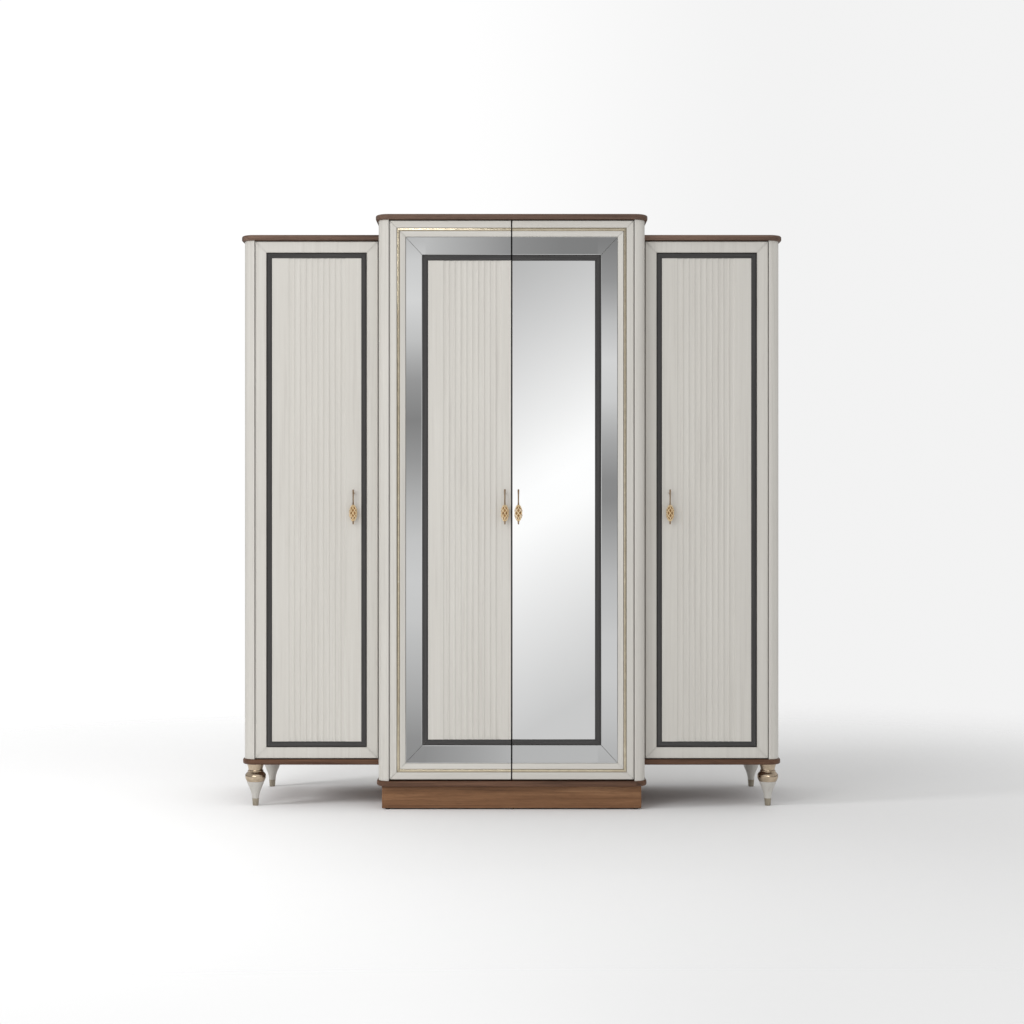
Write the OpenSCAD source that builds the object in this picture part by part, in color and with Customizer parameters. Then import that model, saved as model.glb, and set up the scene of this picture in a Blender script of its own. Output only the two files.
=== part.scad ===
// Four-door armoire: a tall centre cabinet on a plinth between two lower wings on
// turned legs. The origin is on the floor, under the middle of the whole armoire.
// +X is to the right seen from the front, the doors face -Y, and +Z is up.

/* [Overall] */
// Height of the centre cabinet with its boards
total_h = 2200; // [2000:10:2400]
// Depth of the centre cabinet, from its door faces to its back
centre_depth = 625; // [560:5:700]
// How far the wing doors stand behind the centre doors
wing_setback = 75; // [40:5:110]
// Half the width of the centre cabinet's body
centre_half_w = 493.5; // [420:0.5:600]
// Width of one wing's body
wing_w = 507.5; // [430:0.5:620]
// Height of the top face of the wings
wing_top = 2134; // [1950:2:2150]

/* [Boards] */
// Thickness of the walnut top and base boards
board_t = 20; // [16:1:30]
// How far the top boards stand proud of the bodies
top_lip = 10.5; // [4:0.5:15]
// How far the base boards stand proud of the bodies
base_lip = 7; // [4:0.5:15]
// Plan radius of the boards' front corners
board_corner_r = 50; // [30:1:80]
// Rounding of the boards' edges
board_edge_r = 6; // [2:0.5:8]

/* [Carcass] */
// Thickness of the side panels and shelves
panel_t = 18; // [15:1:25]
// Thickness of the back panels
back_t = 8; // [4:1:12]
// Radius of the centre cabinet's quarter-round posts
centre_post_r = 40; // [30:0.5:50]
// Radius of the wings' quarter-round posts
wing_post_r = 41.5; // [30:0.5:50]
// How far back the hinge stile behind each post reaches
stile_back = 100; // [92:1:130]
// Height of the underside of the wings' base boards
wing_base = 158; // [130:1:220]
// Height of the underside of the centre base board
centre_base = 88; // [70:1:110]

/* [Doors] */
// Gap at the doors' hinge edges
door_gap = 3; // [2:0.5:5]
// Gap between the two centre doors
meeting_gap = 5; // [2:0.5:6]
// Gap between the doors and the boards above and below them
board_gap = 4; // [2:0.5:6]
// Gap between the centre doors and their base board
centre_base_gap = 6; // [2:0.5:8]
// Gap between a wing door's free edge and the centre cabinet
wing_inner_gap = 6; // [5:0.5:12]
// Thickness of the centre doors
centre_door_t = 28; // [26:0.5:32]
// Thickness of the wing doors
wing_door_t = 26; // [24:0.5:30]

/* [Door mouldings] */
// Width of the flat cream rail around the centre doors
rail_w = 26; // [20:1:34]
// Width of the gold bead
bead_w = 12; // [10:1:18]
// Width of the cream slope inside the bead
slope_w = 20; // [12:1:24]
// Width of the upright smoked mirror strips
strip_w = 63; // [50:1:80]
// Width of the level smoked mirror strips, above and below
strip_rail_w = 67.5; // [50:0.5:80]
// Width of the dark moulding
dark_w = 21; // [16:1:28]
// Width of the cream stiles and rails of the wing doors
wing_rail_w = 41; // [30:1:50]

/* [Flutes] */
// Number of flutes on a panel
flute_count = 10; // [6:1:12]
// Distance between two flutes
flute_pitch = 21.6; // [16:0.1:24]
// Width of a flute
flute_w = 19.8; // [10:0.1:22]
// Depth of a flute
flute_depth = 2.6; // [1:0.1:3.5]
// How far the centre door's flutes stand off its panel's middle, towards the free edge
centre_flute_shift = 9.6; // [0:0.2:12]
// The same for the wing doors
wing_flute_shift = 2.2; // [0:0.2:8]

/* [Handles] */
// Length of a handle
handle_l = 130; // [100:1:160]
// How far a handle stands out from the door's front plane
handle_out = 30; // [26:1:40]
// Height of the middle of the handles
handle_z = 1120; // [900:5:1300]

/* [Legs and plinth] */
// Distance from a wing's sides, front and back to the leg centres
leg_inset = 40; // [36:1:60]
// Distance from the centre cabinet's sides to the plinth's ends
plinth_inset = 13.5; // [5:0.5:40]
// Distance from the door faces to the plinth's front
plinth_setback = 20; // [10:1:60]
// Height of the glides under the plinth
glide_h = 5; // [3:0.5:10]

/* [Inside] */
// Height of the underside of the centre hat shelf
centre_hat_z = 1840; // [1700:5:1900]
// Height of the underside of the wings' hat shelves
wing_hat_z = 1786; // [1650:2:1850]
// Number of shelves under the hat shelf in the left wing
shelf_count = 4; // [2:1:5]
// Diameter of the hanging rails
rail_d = 25; // [20:1:32]
// Distance from a hat shelf down to the middle of its hanging rail
rail_drop = 60; // [45:1:90]

/* [Hidden] */
$fn = 96;

// Front to back: the handles are the frontmost things, and the backs are flush.
back_y = (centre_depth + handle_out) / 2;
centre_face_y = back_y - centre_depth;
wing_face_y = centre_face_y + wing_setback;
wing_outer_x = centre_half_w + wing_w;

// Heights of the cabinets' inner floors and ceilings.
centre_floor_z = centre_base + board_t;
centre_ceiling_z = total_h - board_t;
wing_floor_z = wing_base + board_t;
wing_ceiling_z = wing_top - board_t;

// Centre door: outer edge, width and height.
centre_door_x = centre_half_w - centre_post_r - door_gap;
centre_door_w = centre_door_x - meeting_gap / 2;
centre_door_z = centre_floor_z + centre_base_gap;
centre_door_h = centre_ceiling_z - board_gap - centre_door_z;

// Wing door: outer edge, width and height.
wing_door_x = wing_outer_x - wing_post_r - door_gap;
wing_door_w = wing_door_x - centre_half_w - wing_inner_gap;
wing_door_z = wing_floor_z + board_gap;
wing_door_h = wing_ceiling_z - board_gap - wing_door_z;

// Depth of the layers of a door, behind its front plane.
centre_slab_d = 13;
wing_slab_d = 12;
quirk = 1;
bead_seat_d = 6;
bead_front_d = 0.5;
slope_top_d = 2;
slope_foot_d = 8.5;
strip_d = 9;
strip_bevel = 1.5;
dark_crest_d = 3.5;
dark_rise = 5;
dark_slope_w = 6;
wing_dark_crest_d = 1.5;
panel_face_d = 7;
wing_panel_face_d = 5;
mirror_face_d = 8;
edge_ease = 1.5;
mitre_joint = 0.2;
strip_off = rail_w + bead_w + slope_w;
centre_opening = strip_off + strip_w + dark_w;
centre_end_opening = strip_off + strip_rail_w + dark_w;
wing_opening = wing_rail_w + dark_w;

// Hinges: cups in the doors, arms on the posts' stiles.
hinge_end = 110;
hinge_count = 4;
cup_r = 17.5;
cup_edge = 5;
cup_depth = 11;
cup_wall = 1.2;
cup_clear = 0.1;
cup_flange_t = 1;
arm_h = 18;
arm_clear = 0.6;

// Handles.
handle_r = 15;
handle_axis_d = handle_out - handle_r;
stem_r = 3.5;
tip_l = 13;
body_l = 58;
centre_handle_x = centre_door_w - 22.5;
wing_handle_x = wing_door_w - 90.5;

// Legs.
collar_z = 92;
ferrule_h = 28;
leg_y_front = wing_face_y + leg_inset;
leg_y_back = back_y - leg_inset;
leg_x = wing_outer_x - leg_inset;

// Inside fittings.
shelf_front_back = 2;
shelf_y_centre = centre_face_y + stile_back + shelf_front_back;
shelf_y_wing = wing_face_y + stile_back + shelf_front_back;
inner_back_y = back_y - back_t;
centre_inner_x = centre_half_w - panel_t;
wing_inner_x = wing_outer_x - panel_t;
shelf_step = (wing_hat_z - wing_floor_z) / (shelf_count + 1);
rail_wall = 1.5;
socket_flange_r = 24;
socket_flange_t = 3;
socket_r = 16;
socket_l = 16;
bracket_size = 14;
bracket_leg = 40;
bracket_t = 3;
anchor_hole_r = 3;
anchor_x = 400;
anchor_z = 2150;

cream = [0.85, 0.83, 0.80];
walnut = [0.41, 0.31, 0.25];
plinth_brown = [0.46, 0.33, 0.25];
gold = [0.80, 0.67, 0.45];
smoke = [0.62, 0.64, 0.64];
charcoal = [0.27, 0.27, 0.27];
steel = [0.70, 0.71, 0.72];

// ---- Shared shapes ----

// Both sides of a mirrored pair.
module both_sides() {
    children();
    mirror([1, 0, 0]) children();
}

// A box from its low corner to its high corner.
module block(low, high) {
    translate(low) cube(high - low);
}

// An upright sheet outline: the drawing's axes are x and z, and it fills y from 0 to t.
module upright(t) {
    translate([0, t, 0]) rotate([90, 0, 0]) linear_extrude(t) children();
}

// Section of a board edge: flat out to reach, with rounded arrises.
function edge_arc(cx, cz, a0) =
    [for (i = [0:6]) [cx + board_edge_r * cos(a0 + 15 * i), cz + board_edge_r * sin(a0 + 15 * i)]];

module board_section(reach) {
    polygon(concat([[0, 0]],
        edge_arc(reach - board_edge_r, board_edge_r, -90),
        edge_arc(reach - board_edge_r, board_t - board_edge_r, 0),
        [[0, board_t]]));
}

// A board whose front edge and right-hand edge are rounded, with a round corner between.
module corner_board(x_in, x_out, y_front, z) {
    corner_x = x_out - board_corner_r;
    corner_y = y_front + board_corner_r;
    translate([0, 0, z]) {
        block([x_in, corner_y, 0], [corner_x, back_y, board_t]);
        translate([corner_x, back_y, 0]) rotate([90, 0, 0])
            linear_extrude(back_y - corner_y) board_section(board_corner_r);
        translate([corner_x, corner_y, 0]) {
            rotate([0, 0, -90]) rotate_extrude(angle = 90) board_section(board_corner_r);
            rotate([90, 0, -90]) linear_extrude(corner_x - x_in)
                board_section(board_corner_r);
        }
    }
}

// Quarter-round corner post with the stile that carries the hinges, on the right side.
module corner_post(x_out, y_face, z_low, z_high, post_r) {
    post_x = x_out - post_r;
    translate([post_x, y_face + post_r, z_low]) linear_extrude(z_high - z_low) {
        intersection() {
            circle(post_r);
            translate([0, -post_r]) square(post_r);
        }
        square([post_r - panel_t, stile_back - post_r]);
    }
}

// ---- Door mouldings, drawn for a left-hand door with its hinge edge at x = 0 ----

// Runs of a moulding around a door. The section is drawn with x = 0 at the moulding's
// outer edge and y as depth behind the front plane. Runs are mitred at the corners, with
// a hairline joint. A closed moulding has four runs; an open one stops at the free edge.
// off and width hold the values for the stiles and for the rails; a second child is the
// rails' section, where it differs.
module mitred_runs(w, h, off, width, closed) {
    low = [off[0] - width[0], off[1] - width[1]];
    high = [off[0] + 2 * width[0], off[1] + 2 * width[1]];
    g = mitre_joint;
    far = closed ? w - low[0] : w;
    far_in = closed ? w - high[0] : w;
    module stile() {
        intersection() {
            translate([off[0], 0, 0]) linear_extrude(h) children();
            upright(centre_door_t)
                polygon([[low[0], low[1] + g], [high[0], high[1] + g],
                    [high[0], h - high[1] - g], [low[0], h - low[1] - g]]);
        }
    }
    module rail() {
        intersection() {
            translate([0, 0, off[1]]) mirror([0, 0, 1]) rotate([0, 90, 0])
                linear_extrude(w) children();
            upright(centre_door_t)
                polygon([[low[0], low[1]], [high[0], high[1]], [far_in, high[1]],
                    [far, low[1]]]);
        }
    }
    stile() children(0);
    rail() children($children - 1);
    translate([0, 0, h]) mirror([0, 0, 1]) rail() children($children - 1);
    if (closed) {
        translate([w, 0, 0]) mirror([1, 0, 0]) stile() children(0);
    }
}

// Cream section of a centre door: flat rail, seat for the bead, slope down to the mirror.
module cream_section() {
    seat = rail_w + bead_w;
    foot = seat + slope_w;
    polygon([
        [0, centre_slab_d], [0, edge_ease], [edge_ease, 0], [rail_w - 2.5, 0],
        [rail_w - 1.5, quirk], [rail_w, quirk], [rail_w, bead_seat_d], [seat, bead_seat_d],
        [seat, slope_top_d], [foot, slope_foot_d], [foot, centre_slab_d]
    ]);
}

// Half-round gold bead.
module bead_section() {
    rise = bead_seat_d - bead_front_d;
    half = bead_w / 2;
    r = (half * half + rise * rise) / (2 * rise);
    intersection() {
        translate([half, bead_front_d + r]) circle(r);
        square([bead_w, bead_seat_d]);
    }
}

// Mirror strip with a narrow bevel along both edges.
module strip_section(width) {
    polygon([
        [0, centre_slab_d], [0, strip_d + strip_bevel], [strip_bevel * 2, strip_d],
        [width - strip_bevel * 2, strip_d], [width, strip_d + strip_bevel],
        [width, centre_slab_d]
    ]);
}

// Dark moulding: a flat crest between two slopes.
module dark_section(crest_d, foot_d) {
    polygon([
        [0, foot_d], [0, crest_d + dark_rise], [dark_slope_w, crest_d],
        [dark_w - dark_slope_w, crest_d], [dark_w, crest_d + dark_rise], [dark_w, foot_d]
    ]);
}

// Flat cream stile of a wing door.
module wing_rail_section() {
    polygon([
        [0, wing_slab_d], [0, edge_ease], [edge_ease, 0], [wing_rail_w - edge_ease, 0],
        [wing_rail_w, edge_ease], [wing_rail_w, wing_slab_d]
    ]);
}

// Panel with upright flutes centred on flute_x.
module fluted_panel(x0, x1, z0, z1, face_d, foot_d, flute_x) {
    half = flute_w / 2;
    r = (half * half + flute_depth * flute_depth) / (2 * flute_depth);
    first = flute_x - flute_pitch * (flute_count - 1) / 2;
    difference() {
        block([x0, face_d, z0], [x1, foot_d, z1]);
        for (i = [0:flute_count - 1])
            translate([first + i * flute_pitch, face_d + flute_depth - r, z0 - 1])
                cylinder(h = z1 - z0 + 2, r = r);
    }
}

// Heights of the hinges on a door of height h.
function hinge_heights(h) =
    [for (i = [0:hinge_count - 1]) hinge_end + i * (h - 2 * hinge_end) / (hinge_count - 1)];

// Door slab with blind cup holes in its back.
module door_slab(w, h, slab_d, door_t) {
    difference() {
        block([0, slab_d, 0], [w, door_t, h]);
        for (z = hinge_heights(h))
            translate([cup_edge + cup_r, door_t + 1, z]) rotate([90, 0, 0])
                cylinder(h = cup_depth + cup_clear + 1, r = cup_r + cup_clear);
    }
}

// Steel cups with their fixing flanges, seated in the slab.
module door_cups(h, door_t) {
    for (z = hinge_heights(h)) translate([cup_edge + cup_r, door_t, z]) {
        difference() {
            union() {
                rotate([90, 0, 0]) cylinder(h = cup_depth, r = cup_r);
                block([-cup_r, 0, -26], [cup_r - 12, cup_flange_t, 26]);
                rotate([-90, 0, 0]) cylinder(h = cup_flange_t, r = cup_r);
            }
            translate([0, cup_flange_t + 1, 0]) rotate([90, 0, 0])
                cylinder(h = cup_depth + cup_flange_t + 1 - cup_wall, r = cup_r - cup_wall);
        }
    }
}

// Hinge arms for one door: a base plate on the stile and a cranked arm towards the cup.
module arms_for_door(x, y_face, z, h, door_t) {
    front = door_t + cup_flange_t + arm_clear;
    plate_t = 3;
    translate([x, y_face, z]) for (zh = hinge_heights(h)) translate([-door_gap, 0, zh]) {
        translate([0, 0, -arm_h / 2]) linear_extrude(arm_h) polygon([
            [plate_t, front + 22], [plate_t + 9, front + 12], [plate_t + 26, front],
            [plate_t + 37, front], [plate_t + 37, front + 6], [plate_t + 29, front + 8],
            [plate_t + 14, front + 24], [plate_t + 10, front + 62], [plate_t, front + 62]
        ]);
        block([0, front + 18, -24], [plate_t, front + 56, 24]);
    }
}

// Plain handle: stem, oval body and tip on two posts, about its own upright axis.
module door_handle(x, z, face_d) {
    bottom = z - handle_l / 2;
    translate([x, -handle_axis_d, bottom]) {
        rotate_extrude() polygon([
            [0, 0], [3, 0.5], [5, 4], [4, 8], [3, tip_l], [8, tip_l + 8],
            [13, tip_l + 20], [handle_r, tip_l + 33], [12, tip_l + 46],
            [6, tip_l + 55], [stem_r, tip_l + body_l], [stem_r, handle_l - 1],
            [stem_r - 1, handle_l], [0, handle_l]
        ]);
        for (post_z = [tip_l + 14, handle_l - 14])
            translate([0, 0, post_z]) rotate([-90, 0, 0])
                cylinder(h = handle_axis_d + face_d, r = 3);
    }
}

// Places a left-hand door part on its door.
module on_centre_left() {
    translate([-centre_door_x, centre_face_y, centre_door_z]) children();
}

module on_wing_left() {
    translate([-wing_door_x, wing_face_y, wing_door_z]) children();
}

// ---- Centre cabinet ----

module centre_top_board() {
    color(walnut) both_sides() corner_board(-1, centre_half_w + top_lip,
        centre_face_y - top_lip, centre_ceiling_z);
}

module centre_base_board() {
    color(walnut) both_sides() corner_board(-1, centre_half_w + base_lip,
        centre_face_y - base_lip, centre_base);
}

module centre_side_right() {
    color(cream) block([centre_inner_x, centre_face_y + centre_post_r, centre_floor_z],
        [centre_half_w, back_y, centre_ceiling_z]);
}

module centre_side_left() {
    mirror([1, 0, 0]) centre_side_right();
}

module centre_post_right() {
    color(cream) corner_post(centre_half_w, centre_face_y, centre_floor_z, centre_ceiling_z,
        centre_post_r);
}

module centre_post_left() {
    mirror([1, 0, 0]) centre_post_right();
}

module centre_back_panel() {
    color(cream) difference() {
        block([-centre_inner_x, inner_back_y, centre_floor_z],
            [centre_inner_x, back_y, centre_ceiling_z]);
        for (x = [-anchor_x, anchor_x])
            translate([x, back_y + 1, anchor_z]) rotate([90, 0, 0])
                cylinder(h = back_t + 2, r = anchor_hole_r);
    }
}

// ---- Plinth ----

plinth_x = centre_half_w - plinth_inset;
plinth_y0 = centre_face_y + plinth_setback;
plinth_y1 = back_y - plinth_setback;

module plinth_front() {
    color(plinth_brown) block([-plinth_x, plinth_y0, glide_h],
        [plinth_x, plinth_y0 + panel_t, centre_base]);
}

module plinth_back() {
    color(plinth_brown) block([-plinth_x, plinth_y1 - panel_t, glide_h],
        [plinth_x, plinth_y1, centre_base]);
}

module plinth_ends() {
    color(plinth_brown) both_sides() block([plinth_x - panel_t, plinth_y0 + panel_t, glide_h],
        [plinth_x, plinth_y1 - panel_t, centre_base]);
}

module plinth_glides() {
    glide_r = 8;
    color(charcoal)
        for (x = [20 - plinth_x, 0, plinth_x - 20])
            for (y = [plinth_y0 + panel_t / 2, plinth_y1 - panel_t / 2])
                translate([x, y, 0]) cylinder(h = glide_h, r = glide_r);
}

// ---- Wings ----

module wing_right_top_board() {
    color(walnut) corner_board(centre_half_w, wing_outer_x + top_lip,
        wing_face_y - top_lip, wing_ceiling_z);
}

module wing_left_top_board() {
    mirror([1, 0, 0]) wing_right_top_board();
}

module wing_right_base_board() {
    color(walnut) corner_board(centre_half_w, wing_outer_x + base_lip,
        wing_face_y - base_lip, wing_base);
}

module wing_left_base_board() {
    mirror([1, 0, 0]) wing_right_base_board();
}

module wing_right_side() {
    color(cream) block([wing_inner_x, wing_face_y + wing_post_r, wing_floor_z],
        [wing_outer_x, back_y, wing_ceiling_z]);
}

module wing_left_side() {
    mirror([1, 0, 0]) wing_right_side();
}

module wing_right_post() {
    color(cream) corner_post(wing_outer_x, wing_face_y, wing_floor_z, wing_ceiling_z,
        wing_post_r);
}

module wing_left_post() {
    mirror([1, 0, 0]) wing_right_post();
}

module wing_right_back_panel() {
    color(cream) block([centre_half_w, inner_back_y, wing_floor_z],
        [wing_inner_x, back_y, wing_ceiling_z]);
}

module wing_left_back_panel() {
    mirror([1, 0, 0]) wing_right_back_panel();
}

// ---- Turned legs ----

module at_legs() {
    for (y = [leg_y_front, leg_y_back])
        both_sides() translate([leg_x, y, 0]) children();
}

module leg_ferrules() {
    color(gold) at_legs() rotate_extrude() polygon([
        [0, 0], [10.4, 0], [11, 0.8], [12.8, ferrule_h - 1], [12.8, ferrule_h],
        [0, ferrule_h]
    ]);
}

module leg_vases() {
    color(cream) at_legs() rotate_extrude() polygon([
        [0, ferrule_h], [13.2, ferrule_h], [13.7, 34], [15, 42], [16.9, 50], [19.5, 58],
        [22.7, 66], [25.2, 72], [27.7, 78], [30, 84], [31.7, 89], [32.2, collar_z],
        [0, collar_z]
    ]);
}

module leg_collars() {
    color(gold) at_legs() rotate_extrude() polygon([
        [0, collar_z], [33, collar_z], [34, 94], [35.6, 98], [37.8, 103], [38.8, 107],
        [39, 111], [38.4, 115.5], [36.4, 119.5], [32.8, 124], [29, 127.5], [27, 131],
        [26.8, 138], [28, 145.5], [30.2, 151], [31.2, 155], [31.2, wing_base], [0, wing_base]
    ]);
}

// ---- Inside fittings ----

module hat_shelves() {
    color(cream) {
        block([-centre_inner_x, shelf_y_centre, centre_hat_z],
            [centre_inner_x, inner_back_y, centre_hat_z + panel_t]);
        both_sides() block([centre_half_w, shelf_y_wing, wing_hat_z],
            [wing_inner_x, inner_back_y, wing_hat_z + panel_t]);
    }
}

module wing_left_shelves() {
    color(cream) for (i = [1:shelf_count])
        block([-wing_inner_x, shelf_y_wing, wing_floor_z + i * shelf_step],
            [-centre_half_w, inner_back_y, wing_floor_z + i * shelf_step + panel_t]);
}

// Two angle brackets at each end of every shelf, with the screw flange on the panel.
module shelf_brackets() {
    flange_t = 2;
    module pair(y_front, x_left, x_right, z) {
        for (y = [y_front + 60, inner_back_y - 60]) {
            for (side = [0, 1]) {
                x = side == 0 ? x_left : x_right;
                translate([x, y, z]) mirror([side, 0, 0]) {
                    block([0, -8, -bracket_size], [flange_t, 8, 0]);
                    block([0, -8, -flange_t], [bracket_size, 8, 0]);
                }
            }
        }
    }
    color(steel) {
        pair(shelf_y_centre, -centre_inner_x, centre_inner_x, centre_hat_z);
        pair(shelf_y_wing, centre_half_w, wing_inner_x, wing_hat_z);
        pair(shelf_y_wing, -wing_inner_x, -centre_half_w, wing_hat_z);
        for (i = [1:shelf_count])
            pair(shelf_y_wing, -wing_inner_x, -centre_half_w, wing_floor_z + i * shelf_step);
    }
}

rail_y_centre = (shelf_y_centre + inner_back_y) / 2;
rail_y_wing = (shelf_y_wing + inner_back_y) / 2;

// A tube between two panels, clear of the flanges' faces.
module rail_tube(x0, x1, y, z) {
    translate([x0 + socket_flange_t, y, z]) rotate([0, 90, 0]) difference() {
        cylinder(h = x1 - x0 - 2 * socket_flange_t, r = rail_d / 2);
        translate([0, 0, -1])
            cylinder(h = x1 - x0, r = rail_d / 2 - rail_wall);
    }
}

module hanging_rails() {
    color(steel) {
        rail_tube(-centre_inner_x, centre_inner_x, rail_y_centre, centre_hat_z - rail_drop);
        rail_tube(centre_half_w, wing_inner_x, rail_y_wing, wing_hat_z - rail_drop);
    }
}

module rail_socket() {
    rotate([0, 90, 0]) {
        cylinder(h = socket_flange_t, r = socket_flange_r);
        translate([0, 0, socket_flange_t]) difference() {
            cylinder(h = socket_l, r = socket_r);
            translate([0, 0, -1]) cylinder(h = socket_l + 2, r = rail_d / 2 + 0.05);
        }
    }
}

module rail_sockets() {
    color(steel) {
        both_sides() translate([-centre_inner_x, rail_y_centre, centre_hat_z - rail_drop])
            rail_socket();
        translate([centre_half_w, rail_y_wing, wing_hat_z - rail_drop]) rail_socket();
        translate([wing_inner_x, rail_y_wing, wing_hat_z - rail_drop])
            mirror([1, 0, 0]) rail_socket();
    }
}

// Angle brackets that hold the wings' boards to the centre cabinet's sides.
module joining_brackets() {
    module angle() {
        block([0, -20, 0], [bracket_t, 20, bracket_leg]);
        block([0, -20, 0], [bracket_leg, 20, bracket_t]);
    }
    color(steel) both_sides() for (y = [shelf_y_wing + 40, inner_back_y - 60])
        translate([centre_half_w, y, 0]) {
            translate([0, 0, wing_floor_z]) angle();
            translate([0, 0, wing_ceiling_z]) mirror([0, 0, 1]) angle();
        }
}

module hinge_arms() {
    color(steel) both_sides() {
        arms_for_door(-centre_door_x, centre_face_y, centre_door_z, centre_door_h,
            centre_door_t);
        arms_for_door(-wing_door_x, wing_face_y, wing_door_z, wing_door_h, wing_door_t);
    }
}

// ---- Centre doors ----

module door_centre_left_slab() {
    color(cream) on_centre_left()
        door_slab(centre_door_w, centre_door_h, centre_slab_d, centre_door_t);
}

module door_centre_left_frame() {
    color(cream) on_centre_left()
        mitred_runs(centre_door_w, centre_door_h, [0, 0], [strip_off, strip_off], false)
            cream_section();
}

module door_centre_left_bead() {
    color(gold) on_centre_left()
        mitred_runs(centre_door_w, centre_door_h, [rail_w, rail_w], [bead_w, bead_w], false)
            bead_section();
}

module door_centre_left_strips() {
    color(smoke) on_centre_left()
        mitred_runs(centre_door_w, centre_door_h, [strip_off, strip_off],
            [strip_w, strip_rail_w], false) {
            strip_section(strip_w);
            strip_section(strip_rail_w);
        }
}

module door_centre_left_moulding() {
    color(charcoal) on_centre_left()
        mitred_runs(centre_door_w, centre_door_h,
            [centre_opening - dark_w, centre_end_opening - dark_w], [dark_w, dark_w], false)
            dark_section(dark_crest_d, centre_slab_d);
}

module door_centre_left_fluted_panel() {
    color(cream) on_centre_left()
        fluted_panel(centre_opening, centre_door_w, centre_end_opening,
            centre_door_h - centre_end_opening, panel_face_d, centre_slab_d,
            (centre_opening + centre_door_w) / 2 + centre_flute_shift);
}

module door_centre_left_handle() {
    color(gold) on_centre_left()
        door_handle(centre_handle_x, handle_z - centre_door_z, panel_face_d);
}

module door_centre_left_cups() {
    color(steel) on_centre_left() door_cups(centre_door_h, centre_door_t);
}

module door_centre_right_slab() {
    mirror([1, 0, 0]) door_centre_left_slab();
}

module door_centre_right_frame() {
    mirror([1, 0, 0]) door_centre_left_frame();
}

module door_centre_right_bead() {
    mirror([1, 0, 0]) door_centre_left_bead();
}

module door_centre_right_strips() {
    mirror([1, 0, 0]) door_centre_left_strips();
}

module door_centre_right_moulding() {
    mirror([1, 0, 0]) door_centre_left_moulding();
}

module door_centre_right_mirror() {
    color(smoke) mirror([1, 0, 0]) on_centre_left()
        block([centre_opening, mirror_face_d, centre_end_opening],
            [centre_door_w, centre_slab_d, centre_door_h - centre_end_opening]);
}

module door_centre_right_handle() {
    color(gold) mirror([1, 0, 0]) on_centre_left()
        door_handle(centre_handle_x, handle_z - centre_door_z, mirror_face_d);
}

module door_centre_right_cups() {
    mirror([1, 0, 0]) door_centre_left_cups();
}

// ---- Wing doors ----

module door_wing_left_slab() {
    color(cream) on_wing_left()
        door_slab(wing_door_w, wing_door_h, wing_slab_d, wing_door_t);
}

module door_wing_left_frame() {
    color(cream) on_wing_left()
        mitred_runs(wing_door_w, wing_door_h, [0, 0], [wing_rail_w, wing_rail_w], true)
            wing_rail_section();
}

module door_wing_left_moulding() {
    color(charcoal) on_wing_left()
        mitred_runs(wing_door_w, wing_door_h, [wing_rail_w, wing_rail_w], [dark_w, dark_w],
            true)
            dark_section(wing_dark_crest_d, wing_slab_d);
}

module door_wing_left_fluted_panel() {
    color(cream) on_wing_left()
        fluted_panel(wing_opening, wing_door_w - wing_opening, wing_opening,
            wing_door_h - wing_opening, wing_panel_face_d, wing_slab_d,
            wing_door_w / 2 + wing_flute_shift);
}

module door_wing_left_handle() {
    color(gold) on_wing_left()
        door_handle(wing_handle_x, handle_z - wing_door_z, wing_panel_face_d);
}

module door_wing_left_cups() {
    color(steel) on_wing_left() door_cups(wing_door_h, wing_door_t);
}

module door_wing_right_slab() {
    mirror([1, 0, 0]) door_wing_left_slab();
}

module door_wing_right_frame() {
    mirror([1, 0, 0]) door_wing_left_frame();
}

module door_wing_right_moulding() {
    mirror([1, 0, 0]) door_wing_left_moulding();
}

module door_wing_right_fluted_panel() {
    mirror([1, 0, 0]) door_wing_left_fluted_panel();
}

module door_wing_right_handle() {
    mirror([1, 0, 0]) door_wing_left_handle();
}

module door_wing_right_cups() {
    mirror([1, 0, 0]) door_wing_left_cups();
}

centre_top_board();
centre_base_board();
centre_side_left();
centre_side_right();
centre_post_left();
centre_post_right();
centre_back_panel();
plinth_front();
plinth_back();
plinth_ends();
plinth_glides();
wing_left_top_board();
wing_left_base_board();
wing_left_side();
wing_left_post();
wing_left_back_panel();
wing_right_top_board();
wing_right_base_board();
wing_right_side();
wing_right_post();
wing_right_back_panel();
leg_vases();
leg_collars();
leg_ferrules();
hat_shelves();
wing_left_shelves();
shelf_brackets();
hanging_rails();
rail_sockets();
joining_brackets();
hinge_arms();
door_centre_left_slab();
door_centre_left_frame();
door_centre_left_bead();
door_centre_left_strips();
door_centre_left_moulding();
door_centre_left_fluted_panel();
door_centre_left_handle();
door_centre_left_cups();
door_centre_right_slab();
door_centre_right_frame();
door_centre_right_bead();
door_centre_right_strips();
door_centre_right_moulding();
door_centre_right_mirror();
door_centre_right_handle();
door_centre_right_cups();
door_wing_left_slab();
door_wing_left_frame();
door_wing_left_moulding();
door_wing_left_fluted_panel();
door_wing_left_handle();
door_wing_left_cups();
door_wing_right_slab();
door_wing_right_frame();
door_wing_right_moulding();
door_wing_right_fluted_panel();
door_wing_right_handle();
door_wing_right_cups();
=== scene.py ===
import math

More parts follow.
